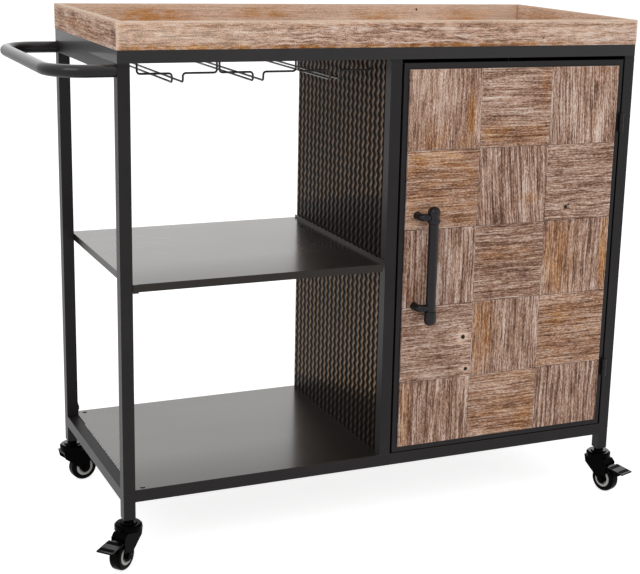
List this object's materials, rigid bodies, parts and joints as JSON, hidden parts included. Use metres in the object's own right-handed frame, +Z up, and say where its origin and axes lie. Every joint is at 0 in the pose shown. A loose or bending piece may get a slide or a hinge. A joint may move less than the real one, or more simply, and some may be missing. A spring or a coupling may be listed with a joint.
{
  "type": "rolling bar cart",
  "caption": "Rolling bar cart with a wooden tray top, hanging stemware racks, open shelves, a ridged divider, a tiled cabinet door, a push handle and swivel casters.",
  "frame": {"origin": "on the floor, under the middle of the tube frame", "axes": "+Z up, +X towards the cabinet end, away from the push handle, -Y towards the front and its door"},
  "size_m": [1.0769, 0.5009, 0.891],
  "materials": {
    "powder_coat": "satin charcoal powder coat",
    "shelf_sheet": "satin gunmetal powder coat",
    "ridged_sheet": "bronze-black lacquered embossed sheet",
    "rack_wire": "black powder-coated wire",
    "reclaimed_wood": "weathered fir with whitewash",
    "backer_board": "plain plywood",
    "pull_iron": "blackened iron",
    "black_plastic": "moulded",
    "black_screws": "black oxide",
    "zinc": "zinc plated",
    "fork_steel": "black pressed steel",
    "hub_plastic": "grey moulded",
    "tyre_rubber": "black"
  },
  "bodies": {
    "frame": {"back_bottom_rail": "powder_coat", "back_panel": "shelf_sheet", "bottom_shelf": "shelf_sheet", "cabinet_shelf": "shelf_sheet", "caster_stems": "fork_steel", "divider_post": "powder_coat", "frame_bolts": "black_screws", "front_bottom_rail": "powder_coat", "hinge_leg_knuckles": "powder_coat", "hinge_pins": "zinc", "left_end_frame": "powder_coat", "leg_inserts": "black_plastic", "magnet_catch": "black_plastic", "middle_shelf": "shelf_sheet", "post_caps": "black_plastic", "push_handle": "powder_coat", "rack_screws": "black_screws", "right_end_frame": "powder_coat", "shelf_screws": "black_screws", "side_panel": "shelf_sheet", "stem_rack_left": "rack_wire", "stem_rack_middle": "rack_wire", "stem_rack_right": "rack_wire", "top_ring": "powder_coat", "tray_back_wall": "reclaimed_wood", "tray_floor": "reclaimed_wood", "tray_front_wall": "reclaimed_wood", "tray_left_wall": "reclaimed_wood", "tray_right_wall": "reclaimed_wood", "wave_panel": "ridged_sheet"},
    "door": {"door_frame": "powder_coat", "door_backer": "backer_board", "door_tiles_left": "reclaimed_wood", "door_tiles_middle": "reclaimed_wood", "door_tiles_right": "reclaimed_wood", "pull_bar": "pull_iron", "pull_arms": "pull_iron", "pull_cap_upper": "pull_iron", "pull_cap_lower": "pull_iron", "hinge_door_knuckles": "powder_coat", "strike_plate": "zinc"},
    "front_left_caster": {"front_left_fork": "fork_steel", "front_left_axle": "zinc"},
    "front_left_wheel": {"front_left_hub": "hub_plastic", "front_left_tyre": "tyre_rubber"},
    "front_left_brake": {"front_left_pedal": "fork_steel"},
    "front_right_caster": {"front_right_fork": "fork_steel", "front_right_axle": "zinc"},
    "front_right_wheel": {"front_right_hub": "hub_plastic", "front_right_tyre": "tyre_rubber"},
    "front_right_brake": {"front_right_pedal": "fork_steel"},
    "back_left_caster": {"back_left_fork": "fork_steel", "back_left_axle": "zinc"},
    "back_left_wheel": {"back_left_hub": "hub_plastic", "back_left_tyre": "tyre_rubber"},
    "back_right_caster": {"back_right_fork": "fork_steel", "back_right_axle": "zinc"},
    "back_right_wheel": {"back_right_hub": "hub_plastic", "back_right_tyre": "tyre_rubber"}
  },
  "joints": [
    {"name": "door_hinge", "type": "hinge", "parent": "frame", "child": "door", "pos_m": [0.44975, -0.20947, 0.478], "axis": [0, 0, 1], "range_deg": [0, 170]},
    {"name": "front_left_swivel", "type": "hinge", "parent": "frame", "child": "front_left_caster", "pos_m": [-0.4615, -0.195, 0.066], "axis": [0, 0, 1], "continuous": true},
    {"name": "front_left_roll", "type": "hinge", "parent": "front_left_caster", "child": "front_left_wheel", "pos_m": [-0.47659, -0.20812, 0.025], "axis": [0.6561, -0.7547, 0], "continuous": true},
    {"name": "front_left_brake_press", "type": "hinge", "parent": "front_left_caster", "child": "front_left_brake", "pos_m": [-0.47961, -0.21074, 0.054], "axis": [0.6561, -0.7547, 0], "range_deg": [0, 12]},
    {"name": "front_right_swivel", "type": "hinge", "parent": "frame", "child": "front_right_caster", "pos_m": [0.4615, -0.195, 0.066], "axis": [0, 0, 1], "continuous": true},
    {"name": "front_right_roll", "type": "hinge", "parent": "front_right_caster", "child": "front_right_wheel", "pos_m": [0.46768, -0.21402, 0.025], "axis": [0.9511, 0.309, 0], "continuous": true},
    {"name": "front_right_brake_press", "type": "hinge", "parent": "front_right_caster", "child": "front_right_brake", "pos_m": [0.46892, -0.21782, 0.054], "axis": [0.9511, 0.309, 0], "range_deg": [0, 12]},
    {"name": "back_left_swivel", "type": "hinge", "parent": "frame", "child": "back_left_caster", "pos_m": [-0.4615, 0.195, 0.066], "axis": [0, 0, 1], "continuous": true},
    {"name": "back_left_roll", "type": "hinge", "parent": "back_left_caster", "child": "back_left_wheel", "pos_m": [-0.44194, 0.19916, 0.025], "axis": [-0.2079, 0.9781, 0], "continuous": true},
    {"name": "back_right_swivel", "type": "hinge", "parent": "frame", "child": "back_right_caster", "pos_m": [0.4615, 0.195, 0.066], "axis": [0, 0, 1], "continuous": true},
    {"name": "back_right_roll", "type": "hinge", "parent": "back_right_caster", "child": "back_right_wheel", "pos_m": [0.44919, 0.21076, 0.025], "axis": [-0.788, -0.6157, 0], "continuous": true}
  ]
}
